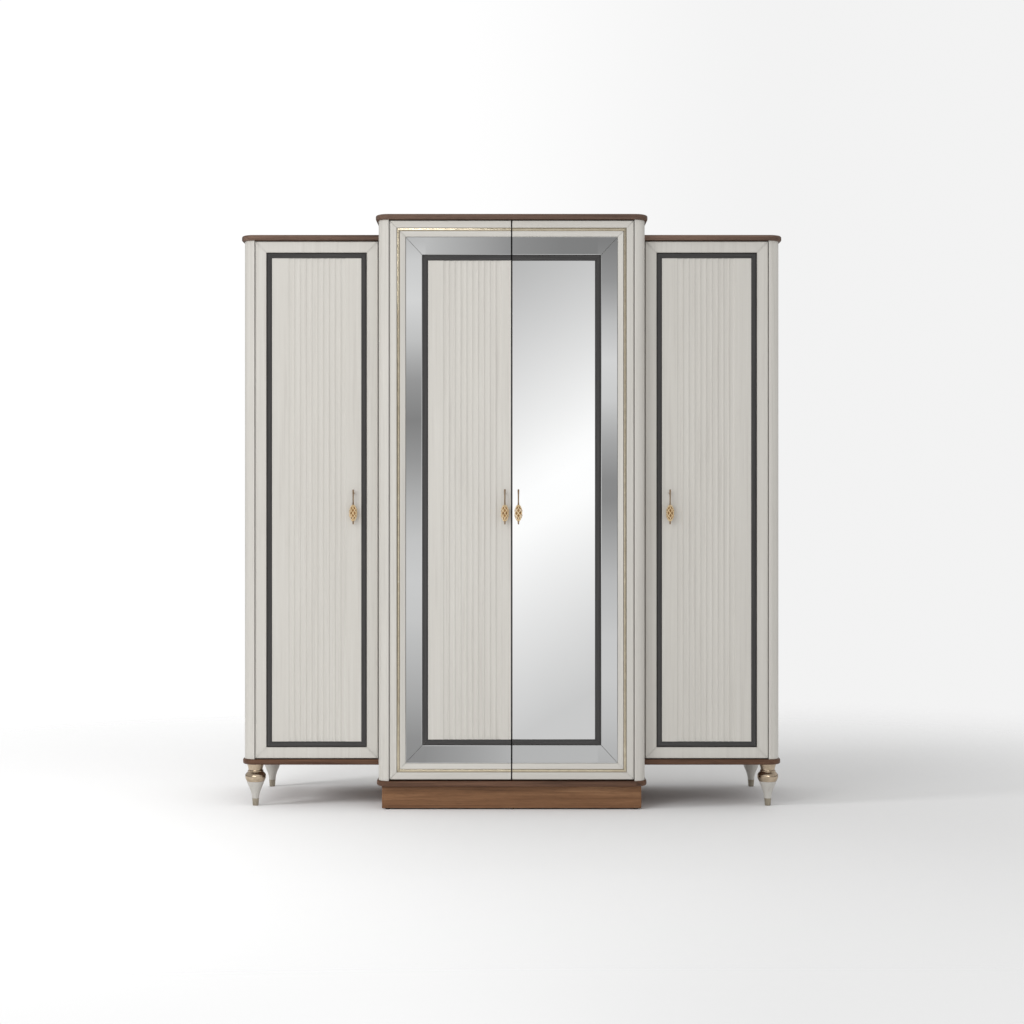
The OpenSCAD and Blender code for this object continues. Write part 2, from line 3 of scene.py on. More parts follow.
import bmesh
import bpy
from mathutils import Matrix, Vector


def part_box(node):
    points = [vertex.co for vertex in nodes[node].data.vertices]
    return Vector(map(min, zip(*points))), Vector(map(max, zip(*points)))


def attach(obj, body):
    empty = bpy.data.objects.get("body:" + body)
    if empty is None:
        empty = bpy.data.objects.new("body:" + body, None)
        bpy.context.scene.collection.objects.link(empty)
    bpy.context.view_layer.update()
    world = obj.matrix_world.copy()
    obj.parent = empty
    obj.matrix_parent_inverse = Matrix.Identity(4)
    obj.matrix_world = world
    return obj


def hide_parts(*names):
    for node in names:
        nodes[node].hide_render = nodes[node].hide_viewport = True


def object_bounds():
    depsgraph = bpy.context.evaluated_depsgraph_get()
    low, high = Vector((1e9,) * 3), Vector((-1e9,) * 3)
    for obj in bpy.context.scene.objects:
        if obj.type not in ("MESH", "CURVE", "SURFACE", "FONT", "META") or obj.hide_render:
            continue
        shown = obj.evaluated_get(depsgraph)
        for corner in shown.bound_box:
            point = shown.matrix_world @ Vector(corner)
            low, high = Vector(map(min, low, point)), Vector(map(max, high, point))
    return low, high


# Looks of the four-door armoire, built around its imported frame. All lengths are in metres.
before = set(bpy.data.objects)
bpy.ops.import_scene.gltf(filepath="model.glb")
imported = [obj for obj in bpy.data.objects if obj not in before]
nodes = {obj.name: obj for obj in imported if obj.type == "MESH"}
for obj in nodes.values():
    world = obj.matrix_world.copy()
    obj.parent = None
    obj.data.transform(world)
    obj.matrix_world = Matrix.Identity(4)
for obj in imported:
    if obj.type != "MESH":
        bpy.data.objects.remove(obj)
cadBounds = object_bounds()
scene = bpy.context.scene
print("frame loaded with", len(nodes), "nodes")

doorNames = ["door_centre_left", "door_centre_right", "door_wing_left", "door_wing_right"]
centreDoors = doorNames[:2]
wingDoors = doorNames[2:]
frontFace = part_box("door_centre_left_frame")[0].y


# Camera, straight in front at chest height
cameraSetup = {"distance": 6.622, "height": 1.1009, "side": 0.0013, "lens": 63.1}


def addCamera():
    data = bpy.data.cameras.new("frontCamera")
    data.lens = cameraSetup["lens"]
    data.sensor_width = 36
    data.clip_end = 200
    data.dof.use_dof = False
    camera = bpy.data.objects.new("frontCamera", data)
    scene.collection.objects.link(camera)
    camera.location = (cameraSetup["side"], frontFace - cameraSetup["distance"], cameraSetup["height"])
    camera.rotation_euler = (math.radians(90), 0, 0)
    scene.camera = camera


addCamera()
print("camera placed")


# Material helpers. A socket among the inputs is linked; any other value is set on the node.
def newMaterial(name, viewColour):
    material = bpy.data.materials.new(name)
    material.use_nodes = True
    material.diffuse_color = (*viewColour, 1)
    tree = material.node_tree
    return material, tree, tree.nodes["Principled BSDF"]


def feed(tree, node, inputs):
    for key, value in inputs.items():
        if isinstance(value, bpy.types.NodeSocket):
            tree.links.new(value, node.inputs[key])
        else:
            node.inputs[key].default_value = value


def addNode(tree, kind, inputs=None, **settings):
    node = tree.nodes.new("ShaderNode" + kind)
    for key, value in settings.items():
        setattr(node, key, value)
    feed(tree, node, inputs or {})
    return node


def grey(value):
    return (value, value, value)


def ramp(tree, source, stops, smooth=True):
    node = addNode(tree, "ValToRGB", {0: source})
    node.color_ramp.interpolation = "EASE" if smooth else "LINEAR"
    elements = node.color_ramp.elements
    while len(elements) < len(stops):
        elements.new(0.5)
    for element, (position, colour) in zip(elements, stops):
        element.position = position
        element.color = (*colour, 1)
    return node.outputs[0]


def greyRamp(tree, source, start, low, end, high):
    return ramp(tree, source, [(start, grey(low)), (end, grey(high))])


def mapRange(tree, value, start, end, low=0.0, high=1.0, smooth=False):
    node = addNode(tree, "MapRange", interpolation_type="SMOOTHSTEP" if smooth else "LINEAR")
    feed(tree, node, {"Value": value, "From Min": start, "From Max": end, "To Min": low, "To Max": high})
    return node.outputs[0]


# Noise in the object's own space, stretched by one scale for each axis
def noiseField(tree, stretch, detail, roughness, distortion=0.0):
    place = addNode(tree, "TexCoord").outputs["Object"]
    mapped = addNode(tree, "Mapping", {0: place, "Scale": stretch}).outputs[0]
    noise = addNode(tree, "TexNoise", {"Vector": mapped, "Scale": 1.0, "Detail": detail,
                                       "Roughness": roughness, "Distortion": distortion})
    return noise.outputs[0]


def alongAxis(axis, along, across):
    return tuple(along if name == axis else across for name in "XYZ")


# A plain tint over a colour, as strong as the mask is bright
def tintOver(tree, mask, colour, tint):
    node = addNode(tree, "Mix", data_type="RGBA")
    feed(tree, node, {0: mask, 6: colour, 7: (*tint, 1)})
    return node.outputs[2]


def darker(colour, share):
    return tuple(part * share for part in colour)


# Bump layers of (height, strength, distance), each on top of the one before
def bumpNormal(tree, *layers):
    normal = {}
    for height, strength, distance in layers:
        bump = addNode(tree, "Bump", {"Height": height, "Strength": strength, "Distance": distance, **normal})
        normal = {"Normal": bump.outputs[0]}
    return bump.outputs[0]


# Satin cream lacquer over an open-grained wood; the grain runs along one axis
creamLook = {"shade": (0.590, 0.566, 0.524), "body": (0.648, 0.626, 0.580),
             "light": (0.690, 0.670, 0.626), "turnedShare": 0.86}


# A share below 1 darkens every tone; the turned legs use it as painted shade, for the shade they stand in under
# the base board
def creamLacquer(name, axis, share=1.0):
    shade, body, light = [darker(creamLook[key], share) for key in ("shade", "body", "light")]
    material, tree, shader = newMaterial(name, body)
    grain = noiseField(tree, alongAxis(axis, 2.2, 95), 6, 0.6, 0.3)
    drift = noiseField(tree, alongAxis(axis, 0.9, 2.4), 2, 0.5)
    fine = noiseField(tree, alongAxis(axis, 9, 620), 3, 0.6)
    base = ramp(tree, grain, [(0.28, shade), (0.5, body), (0.78, light)])
    feed(tree, shader, {
        "Base Color": tintOver(tree, greyRamp(tree, drift, 0.3, 0.0, 0.75, 0.35), base, shade),
        "Roughness": greyRamp(tree, drift, 0.2, 0.36, 0.8, 0.46),
        "Normal": bumpNormal(tree, (fine, 0.22, 0.0002), (grain, 0.15, 0.0003)),
        "Coat Weight": 0.12, "Coat Roughness": 0.3, "Specular IOR Level": 0.35})
    return material


# Stained walnut with satin finish, in (dark, middle, light) tones
walnutLook = {
    "top": [(0.073, 0.042, 0.030), (0.138, 0.083, 0.059), (0.215, 0.134, 0.097)],
    "base": [(0.068, 0.032, 0.018), (0.126, 0.062, 0.035), (0.192, 0.098, 0.056)],
    "plinth": [(0.120, 0.053, 0.021), (0.226, 0.107, 0.047), (0.320, 0.165, 0.078)],
}


def walnutWood(name, axis, tones):
    dark, middle, light = walnutLook[tones]
    material, tree, shader = newMaterial(name, middle)
    figure = noiseField(tree, alongAxis(axis, 1.1, 34), 5, 0.6, 1.1)
    streaks = noiseField(tree, alongAxis(axis, 4, 260), 6, 0.65, 0.2)
    pores = noiseField(tree, alongAxis(axis, 28, 1100), 2, 0.5)
    wood = ramp(tree, figure, [(0.3, dark), (0.5, middle), (0.72, light)])
    streaked = tintOver(tree, greyRamp(tree, streaks, 0.42, 0.0, 0.7, 0.6), wood, dark)
    poreMask = greyRamp(tree, pores, 0.58, 0.0, 0.7, 0.55)
    feed(tree, shader, {
        "Base Color": tintOver(tree, poreMask, streaked, darker(dark, 0.45)),
        "Roughness": greyRamp(tree, streaks, 0.3, 0.34, 0.7, 0.5),
        "Normal": bumpNormal(tree, (pores, 0.35, 0.00025), (streaks, 0.2, 0.0003)),
        "Specular IOR Level": 0.3})
    return material


# Lacquered brass; painted shade darkens the hollows up to the given depth
def brassMetal(name, bright, shade, rough, shadeDepth=0.0, metallic=1.0):
    material, tree, shader = newMaterial(name, bright)
    clouds = noiseField(tree, (38, 38, 38), 4, 0.55)
    brush = noiseField(tree, (420, 420, 60), 3, 0.6)
    colour = ramp(tree, clouds, [(0.3, shade), (0.7, bright)])
    if shadeDepth:
        # Painted shade: the colour darkens where occlusion is found within that depth
        occludedShade = addNode(tree, "AmbientOcclusion", {"Distance": shadeDepth}, samples=8).outputs["AO"]
        colour = tintOver(tree, greyRamp(tree, occludedShade, 0.2, 0.7, 0.75, 0.0), colour, darker(shade, 0.4))
    feed(tree, shader, {
        "Base Color": colour, "Metallic": metallic,
        "Roughness": greyRamp(tree, brush, 0.25, rough, 0.75, rough + 0.12),
        "Normal": bumpNormal(tree, (brush, 0.08, 0.0001))})
    return material


# Silvered glass; faint haze changes the gloss from place to place
def mirrorGlass(name, tone, haze):
    material, tree, shader = newMaterial(name, tone)
    veil = noiseField(tree, (3.0, 3.0, 2.0), 3, 0.5)
    specks = noiseField(tree, (70, 70, 70), 2, 0.5)
    feed(tree, shader, {
        "Base Color": ramp(tree, veil, [(0.3, darker(tone, 0.985)), (0.7, tone)]),
        "Roughness": greyRamp(tree, specks, 0.3, haze, 0.8, haze + 0.02), "Metallic": 1.0})
    return material


# Two colours over the noise of the patches, with a bump of (strength, distance) from the
# noise of the relief; metal takes its gloss from the relief too
def simpleFinish(name, tones, patches, rough, relief, bump, metallic=0.0):
    dark, middle, light = tones
    material, tree, shader = newMaterial(name, middle)
    spots = noiseField(tree, *patches)
    fine = noiseField(tree, *relief)
    feed(tree, shader, {
        "Base Color": ramp(tree, spots, [(0.3, dark), (0.7, light)]), "Metallic": metallic,
        "Roughness": greyRamp(tree, fine if metallic else spots, 0.3, rough[0], 0.7, rough[1]),
        "Normal": bumpNormal(tree, (fine, *bump))})
    return material


def charcoalPaint(name, axis):
    grain = (alongAxis(axis, 5, 300), 5, 0.6, 0.2)
    dark, light = (0.033, 0.031, 0.031), (0.052, 0.050, 0.049)
    return simpleFinish(name, (dark, light, light), grain, (0.38, 0.5), grain, (0.3, 0.0002))


# Pale melamine board of the inside and the back, with a soft print of fibres
def innerBoard(name, axis):
    tones = ((0.60, 0.58, 0.54), (0.62, 0.60, 0.56), (0.65, 0.63, 0.59))
    fibre = (alongAxis(axis, 3.5, 150), 5, 0.6, 0.4)
    return simpleFinish(name, tones, fibre, (0.5, 0.62), ((900, 900, 900), 2, 0.5), (0.15, 0.0001))


def fittingSteel(name):
    tones = ((0.50, 0.51, 0.52), (0.6, 0.6, 0.6), (0.66, 0.67, 0.68))
    brush = ((300, 300, 45), 4, 0.6)
    return simpleFinish(name, tones, ((26, 26, 26), 3, 0.5), (0.24, 0.38), brush, (0.1, 0.0001), 1.0)


def mouldedPlastic(name, dark, light):
    cloud = ((60, 60, 60), 3, 0.5)
    spark = ((1400, 1400, 1400), 2, 0.5)
    return simpleFinish(name, (dark, light, light), cloud, (0.42, 0.55), spark, (0.25, 0.0001))


creamUpright = creamLacquer("creamUpright", "Z")
creamLevel = creamLacquer("creamLevel", "X")
# Darker copy of the cream for the turned legs: painted shade under the base board
creamTurned = creamLacquer("creamTurned", "Z", creamLook["turnedShare"])
topWalnut = walnutWood("topWalnut", "X", "top")
baseWalnut = walnutWood("baseWalnut", "X", "base")
plinthWalnut = walnutWood("plinthWalnut", "X", "plinth")
plinthEndWalnut = walnutWood("plinthEndWalnut", "Y", "plinth")
beadBrass = brassMetal("beadBrass", (0.72, 0.64, 0.49), (0.62, 0.54, 0.40), 0.16)
collarBrass = brassMetal("collarBrass", (0.58, 0.47, 0.35), (0.44, 0.35, 0.25), 0.17)
ferruleBrass = brassMetal("ferruleBrass", (0.44, 0.39, 0.31), (0.34, 0.30, 0.24), 0.32)
# The handle's hollows get painted shade up to 3 mm deep
handleBrass = brassMetal("handleBrass", (1.0, 0.80, 0.50), (0.92, 0.68, 0.38), 0.22, 0.003, 0.62)
stemBrass = brassMetal("stemBrass", (0.42, 0.30, 0.19), (0.30, 0.20, 0.12), 0.26, 0.0, 0.85)
# The core's dark brown is painted shade, seen through the holes of the basket
coreBrass = brassMetal("coreBrass", (0.52, 0.31, 0.14), (0.36, 0.20, 0.08), 0.4, 0.0, 0.6)
smokedMirror = mirrorGlass("smokedMirror", (0.640, 0.645, 0.645), 0.015)
clearMirror = mirrorGlass("clearMirror", (0.925, 0.93, 0.93), 0.01)
charcoals = [charcoalPaint("charcoalUpright", "Z"), charcoalPaint("charcoalLevel", "X")]
innerUpright = innerBoard("innerUpright", "Z")
innerLevel = innerBoard("innerLevel", "X")
steel = fittingSteel("fittingSteel")
glidePlastic = mouldedPlastic("glidePlastic", (0.02, 0.02, 0.02), (0.045, 0.044, 0.042))
stripPlastic = mouldedPlastic("stripPlastic", (0.50, 0.49, 0.46), (0.60, 0.58, 0.55))
print("materials ready")


# Turns a shape into a finished piece that rides on its body; an eased piece has small bevels
def makePiece(name, shape, materials, body, slot, ease=0.0, sharp=32, easeSteps=2, stands=()):
    verts, faces, marks = shape
    mesh = bpy.data.meshes.new(name)
    mesh.from_pydata([tuple(point) for point in verts], [], faces)
    for material in materials if isinstance(materials, (list, tuple)) else [materials]:
        mesh.materials.append(material)
    if marks:
        mesh.polygons.foreach_set("material_index", marks)
    turnOutward(mesh)
    mesh.shade_smooth()
    mesh.set_sharp_from_angle(angle=math.radians(sharp))
    piece = bpy.data.objects.new(name, mesh)
    scene.collection.objects.link(piece)
    if ease:
        bevel = piece.modifiers.new("ease", "BEVEL")
        bevel.width = ease
        bevel.segments = easeSteps
        bevel.limit_method = "ANGLE"
        bevel.angle_limit = math.radians(sharp)
    normals = piece.modifiers.new("flatFaces", "WEIGHTED_NORMAL")
    normals.keep_sharp = True
    normals.weight = 100
    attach(piece, body)
    if stands:
        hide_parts(*stands)


# A piece in place of one CAD node, with the node's name
def standIn(node, *details, **settings):
    makePiece(pieceName(node), *details, **settings, stands=[node])


def pieceName(node, part=""):
    words = node.split("_")
    return words[0] + "".join(word.capitalize() for word in words[1:]) + part


def turnOutward(mesh):
    work = bmesh.new()
    work.from_mesh(mesh)
    bmesh.ops.recalc_face_normals(work, faces=work.faces)
    work.to_mesh(mesh)
    work.free()


# A shape is (points, faces, material of each face); one material needs no marks
def marked(shape, mark):
    verts, faces, _ = shape
    return verts, faces, [mark] * len(faces)


def joinShapes(shapes):
    verts, faces, marks = [], [], []
    for shapeVerts, shapeFaces, shapeMarks in shapes:
        first = len(verts)
        verts += shapeVerts
        faces += [tuple(first + index for index in face) for face in shapeFaces]
        marks += shapeMarks or [0] * len(shapeFaces)
    return verts, faces, marks


# Skin over a list of rings with the same number of points, with both ends closed
def ringSkin(rings):
    count = len(rings[0])
    verts = [point for ring in rings for point in ring]
    faces = []
    for level in range(len(rings) - 1):
        for index in range(count):
            after = (index + 1) % count
            low = level * count
            high = low + count
            faces.append((low + index, low + after, high + after, high + index))
    faces.append(tuple(range(count)))
    faces.append(tuple(range((len(rings) - 1) * count, len(rings) * count)))
    return verts, faces, None


def boxShape(low, high):
    corners = [(low[0], low[1]), (high[0], low[1]), (high[0], high[1]), (low[0], high[1])]
    return ringSkin([[(x, y, low[2]) for x, y in corners], [(x, y, high[2]) for x, y in corners]])


# Upright prism over a plan outline
def prism(outline, low, high):
    return ringSkin([[(x, y, low) for x, y in outline], [(x, y, high) for x, y in outline]])


# Turned shape about an axis; the profile is a list of (radius, distance along the axis)
def turned(profile, centre, axis="Z", steps=24):
    rings = []
    for radius, along in profile:
        ring = []
        for index in range(steps):
            angle = 2 * math.pi * index / steps
            a = max(radius, 0.00004) * math.cos(angle)
            b = max(radius, 0.00004) * math.sin(angle)
            offset = {"X": (along, a, b), "Y": (a, along, b), "Z": (a, b, along)}[axis]
            ring.append(tuple(Vector(centre) + Vector(offset)))
        rings.append(ring)
    return ringSkin(rings)


# Smooth curve through profile points, for turned work
def smoothProfile(points, steps=3):
    result = []
    for index in range(len(points) - 1):
        before = points[max(index - 1, 0)]
        start, end = points[index:index + 2]
        after = points[min(index + 2, len(points) - 1)]
        for step in range(steps):
            t = step / steps
            result.append(tuple(0.5 * (2 * b + (c - a) * t + (2 * a - 5 * b + 4 * c - d) * t * t
                                       + (3 * b - a - 3 * c + d) * t ** 3)
                                for a, b, c, d in zip(before, start, end, after)))
    result.append(points[-1])
    return result


def quarterArc(centreX, centreY, radius, startAngle, steps):
    angles = [math.radians(startAngle + 90 * step / steps) for step in range(steps + 1)]
    return [(centreX + radius * math.cos(angle), centreY + radius * math.sin(angle)) for angle in angles]


# Walnut boards: rounded edges all along the front and sides, round plan corners
boardLook = {"cornerRadius": 0.050, "edgeRadius": 0.006, "cornerSteps": 14, "edgeSteps": 5}


def boardOutline(low, high, inset, roundLeft, roundRight):
    radius = boardLook["cornerRadius"] - inset
    front = low.y + inset
    left = low.x + (inset if roundLeft else 0)
    right = high.x - (inset if roundRight else 0)
    outline = [(left, high.y)]
    for x, inward, start, rounded in ((left, 1, 180, roundLeft), (right, -1, 270, roundRight)):
        if rounded:
            centre = x + inward * radius
            outline += quarterArc(centre, front + radius, radius, start, boardLook["cornerSteps"])
        else:
            outline.append((x, front))
    outline.append((right, high.y))
    return outline


def softBoard(node, roundLeft, roundRight):
    low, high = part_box(node)
    radius = boardLook["edgeRadius"]
    levels = []
    for step in range(boardLook["edgeSteps"] + 1):
        angle = math.pi / 2 * step / boardLook["edgeSteps"]
        levels.append((radius * (1 - math.sin(angle)), radius * (1 - math.cos(angle))))
    heights = [(inset, low.z + rise) for inset, rise in levels]
    heights += [(inset, high.z - rise) for inset, rise in reversed(levels)]
    return ringSkin([[(x, y, z) for x, y in boardOutline(low, high, inset, roundLeft, roundRight)]
                     for inset, z in heights])


for cabinet, roundLeft, roundRight in (("centre", True, True), ("wing_left", True, False),
                                       ("wing_right", False, True)):
    for level, wood in (("_top_board", topWalnut), ("_base_board", baseWalnut)):
        node = cabinet + level
        standIn(node, softBoard(node, roundLeft, roundRight), wood, "carcass", "walnut", sharp=40)
print("boards made")


# Side panels and corner posts
carcassLook = {"panelEase": 0.0012, "postEase": 0.00096, "centrePostRadius": 0.040, "wingPostRadius": 0.0415,
               "stileDepth": 0.100, "panelThickness": 0.018, "postSteps": 16}


def cornerPost(node, outerSide):
    look = carcassLook
    low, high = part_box(node)
    radius = look["centrePostRadius" if node.startswith("centre") else "wingPostRadius"]
    outer = high.x if outerSide > 0 else low.x
    centre = outer - outerSide * radius
    outline = [(centre, low.y + look["stileDepth"]), (centre, low.y)]
    for step in range(1, look["postSteps"] + 1):
        angle = math.pi / 2 * step / look["postSteps"]
        outline.append((centre + outerSide * radius * math.sin(angle),
                        low.y + radius * (1 - math.cos(angle))))
    stile = centre + outerSide * (radius - look["panelThickness"])
    outline += [(stile, low.y + radius), (stile, low.y + look["stileDepth"])]
    standIn(node, prism(outline, low.z, high.z), creamUpright, "carcass", "cream_lacquer",
            look["postEase"], 30)


for node in ("centre_side_left", "centre_side_right", "wing_left_side", "wing_right_side"):
    standIn(node, boxShape(*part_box(node)), creamUpright, "carcass", "cream_lacquer", carcassLook["panelEase"])
for node in ("centre_post_left", "centre_post_right", "wing_left_post", "wing_right_post"):
    cornerPost(node, -1 if "left" in node else 1)
print("carcass made")


# Plinth boards, glides and turned legs; a turned profile lists (radius, height)
plinthLook = {
    "ease": 0.0015, "glideRadius": 0.008, "glideSteps": 28,
    "glide": [(0, 0), (0.006, 0), (0.0074, 0.0006), (0.008, 0.0016), (0.008, 0.004), (0.0075, 0.005),
              (0, 0.005)],
}


def plinthEnds():
    low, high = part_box("plinth_ends")
    thickness = carcassLook["panelThickness"]
    left = boxShape(low, (low.x + thickness, high.y, high.z))
    right = boxShape((high.x - thickness, low.y, low.z), high)
    standIn("plinth_ends", joinShapes([left, right]), plinthEndWalnut, "carcass", "plinth_walnut",
            plinthLook["ease"])


def plinthGlides():
    look = plinthLook
    low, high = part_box("plinth_glides")
    radius = look["glideRadius"]
    places = [(x, y, low.z) for x in (low.x + radius, (low.x + high.x) / 2, high.x - radius)
              for y in (low.y + radius, high.y - radius)]
    shapes = [turned(look["glide"], place, steps=look["glideSteps"]) for place in places]
    standIn("plinth_glides", joinShapes(shapes), glidePlastic, "carcass", "glide_plastic")


for node in ("plinth_front", "plinth_back"):
    standIn(node, boxShape(*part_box(node)), plinthWalnut, "carcass", "plinth_walnut", plinthLook["ease"])
plinthEnds()
plinthGlides()

legLook = {
    "collarRadius": 0.039, "steps": 72,
    "ferrule": [(0, 0), (0.0099, 0), (0.0106, 0.0004), (0.0110, 0.0014), (0.0125, 0.0243),
                (0.0131, 0.0251), (0.0133, 0.0264), (0.0131, 0.0276), (0.0126, 0.028), (0, 0.028)],
    "vase": [(0, 0.0275), (0.0130, 0.0275), (0.0133, 0.0285), (0.0137, 0.034), (0.0150, 0.042),
             (0.0169, 0.050), (0.0195, 0.058), (0.0227, 0.066), (0.0252, 0.072), (0.0277, 0.078),
             (0.0300, 0.084), (0.0315, 0.0885), (0.0320, 0.0908), (0.0312, 0.092), (0, 0.092)],
    "collar": [(0, 0.0915), (0.0318, 0.0915), (0.0332, 0.0923), (0.0340, 0.0942), (0.0357, 0.0980),
               (0.0377, 0.1027), (0.0388, 0.1070), (0.0390, 0.1110), (0.0384, 0.1155), (0.0364, 0.1195),
               (0.0330, 0.1235), (0.0300, 0.1266), (0.0290, 0.1280), (0.0286, 0.1290), (0.0292, 0.1300),
               (0.0294, 0.1310), (0.0288, 0.1322), (0.0270, 0.1336), (0.0268, 0.1380), (0.0280, 0.1455),
               (0.0301, 0.1512), (0.0310, 0.1545), (0.0312, 0.1580), (0, 0.1580)],
}


def legCentres():
    low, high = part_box("leg_collars")
    radius = legLook["collarRadius"]
    return [(x, y, 0) for x in (low.x + radius, high.x - radius)
            for y in (low.y + radius, high.y - radius)]


def legPart(node, profile, material, slot, smooth=True):
    points = smoothProfile(profile[1:-1]) if smooth else profile[1:-1]
    points = [profile[0]] + points + [profile[-1]]
    shapes = [turned(points, centre, steps=legLook["steps"]) for centre in legCentres()]
    standIn(node, joinShapes(shapes), material, "carcass", slot, sharp=50)


legPart("leg_vases", legLook["vase"], creamTurned, "cream_lacquer")
legPart("leg_collars", legLook["collar"], collarBrass, "gold")
legPart("leg_ferrules", legLook["ferrule"], ferruleBrass, "gold", smooth=False)
print("plinth and legs made")


# Doors are drawn from the hinge edge: u across, depth behind the front plane, v up
def doorSpace(door):
    low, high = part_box(door + "_frame")
    leftHung = door.endswith("left")

    def place(u, depth, v):
        return (low.x + u if leftHung else high.x - u, low.y + depth, low.z + v)
    return place, high.x - low.x, high.z - low.z


# Runs of a section round a door, mitred at the corners; an open set stops at the free edge.
# The level runs may start at another inset and have a wider section than the upright ones.
def mitredRuns(door, section, offset, closed, joint, endSection=None, endOffset=None):
    place, width, height = doorSpace(door)
    level = endSection or section
    levelOffset = offset if endOffset is None else endOffset
    pairs = [(offset + side[0], side[1], levelOffset + end[0], end[1])
             for side, end in zip(section, level)]
    shapes = []

    def uprightRun(put):
        rings = [[put(side, depth, end + joint) for side, depth, end, _ in pairs],
                 [put(side, depth, height - end - joint) for side, depth, end, _ in pairs]]
        shapes.append(marked(ringSkin(rings), 0))

    uprightRun(place)
    if closed:
        uprightRun(lambda inset, depth, along: place(width - inset, depth, along))
    for flip in (False, True):
        rings = []
        for atFree in (False, True):
            ring = []
            for side, _, end, depth in pairs:
                along = side if not atFree else (width - side if closed else width)
                ring.append(place(along, depth, height - end if flip else end))
            rings.append(ring)
        shapes.append(marked(ringSkin(rings), 1))
    return joinShapes(shapes)


# Rounded corner of a section, between the two directions that lead away from it
def easedCorner(x, y, radius, turn):
    (ax, ay), (bx, by) = turn
    points = []
    for step in range(5):
        angle = math.pi / 2 * step / 4
        first, second = 1 - math.sin(angle), 1 - math.cos(angle)
        points.append((x + radius * (ax * first + bx * second), y + radius * (ay * first + by * second)))
    return points


# Cream moulding of a centre door: flat rail, quirk, seat of the bead, raised slope to the mirror
centreDoorLook = {
    "railWidth": 0.026, "beadWidth": 0.012, "slopeWidth": 0.020, "stripWidth": 0.063,
    "endStripWidth": 0.0675, "darkWidth": 0.021, "slabDepth": 0.013, "edgeRound": 0.002,
    "beadSeat": 0.006, "beadFront": 0.0005, "slopeTop": 0.0016, "slopeFoot": 0.0085, "slopeSteps": 6,
    "stripDepth": 0.009, "stripBevel": 0.0015, "stripJoint": 0.0014, "darkCrest": 0.0035,
    "darkRise": 0.005, "darkSlope": 0.006, "panelDepth": 0.007, "joint": 0.0010, "fluteShift": 0.0096,
}
wingDoorLook = {
    "railWidth": 0.041, "darkWidth": 0.021, "slabDepth": 0.012, "edgeRound": 0.002,
    "innerRound": 0.0012, "darkCrest": 0.0015, "darkRise": 0.005, "darkSlope": 0.006,
    "panelDepth": 0.005, "joint": 0.0002, "fluteShift": 0.0022,
}


def creamSection():
    look = centreDoorLook
    rail = look["railWidth"]
    seatEnd = rail + look["beadWidth"]
    foot = seatEnd + look["slopeWidth"]
    crest = look["slopeTop"]
    section = [(0, look["slabDepth"])]
    section += easedCorner(0, 0, look["edgeRound"], ((0, 1), (1, 0)))[::-1]
    section += [(rail - 0.0032, 0), (rail - 0.0024, 0.0002), (rail - 0.0018, 0.0009),
                (rail - 0.001, 0.0013), (rail, 0.0014), (rail, look["beadSeat"]),
                (seatEnd, look["beadSeat"]), (seatEnd, crest + 0.0006), (seatEnd + 0.0004, crest + 0.0001),
                (seatEnd + 0.0012, crest), (seatEnd + 0.0030, crest + 0.0005)]
    run = foot - 0.0012 - seatEnd - 0.0030
    drop = look["slopeFoot"] - 0.0012 - crest
    for step in range(1, look["slopeSteps"] + 1):
        share = step / look["slopeSteps"]
        section.append((seatEnd + 0.0030 + run * share, crest + 0.0005 + drop * share ** 1.12))
    section += [(foot, look["slopeFoot"]), (foot, look["slabDepth"])]
    return section


def beadSection():
    look = centreDoorLook
    half = look["beadWidth"] / 2
    rise = look["beadSeat"] - look["beadFront"]
    radius = (half * half + rise * rise) / (2 * rise)
    sweep = math.asin(half / radius)
    section = [(0.0001, look["beadSeat"])]
    for step in range(13):
        angle = -sweep + 2 * sweep * step / 12
        section.append((half + (radius - 0.0001) * math.sin(angle),
                        look["beadFront"] + radius - radius * math.cos(angle)))
    section.append((look["beadWidth"] - 0.0001, look["beadSeat"]))
    return section


def stripSection(width):
    look = centreDoorLook
    bevel = look["stripBevel"]
    return [(0, look["slabDepth"]), (0, look["stripDepth"] + bevel), (bevel * 2, look["stripDepth"]),
            (width - bevel * 2, look["stripDepth"]), (width, look["stripDepth"] + bevel),
            (width, look["slabDepth"])]


def darkSection(look):
    width = look["darkWidth"]
    slope = look["darkSlope"]
    crest = look["darkCrest"]
    foot = crest + look["darkRise"]
    half = [(0, look["slabDepth"]), (0, foot), (slope * 0.25, foot - 0.0018),
            (slope * 0.85, crest + 0.0003), (slope + 0.0008, crest)]
    return half + [(width - along, depth) for along, depth in reversed(half)]


def flatRailSection():
    width = wingDoorLook["railWidth"]
    section = [(0, wingDoorLook["slabDepth"])]
    section += easedCorner(0, 0, wingDoorLook["edgeRound"], ((0, 1), (1, 0)))[::-1]
    section += easedCorner(width, 0, wingDoorLook["innerRound"], ((-1, 0), (0, 1)))[::-1]
    section.append((width, wingDoorLook["slabDepth"]))
    return section


# Fluted panel: steep-sided hollows with flat bottoms between narrow lands
fluteLook = {"count": 10, "pitch": 0.0216, "width": 0.0198, "depth": 0.0026, "steps": 14, "power": 3.2}


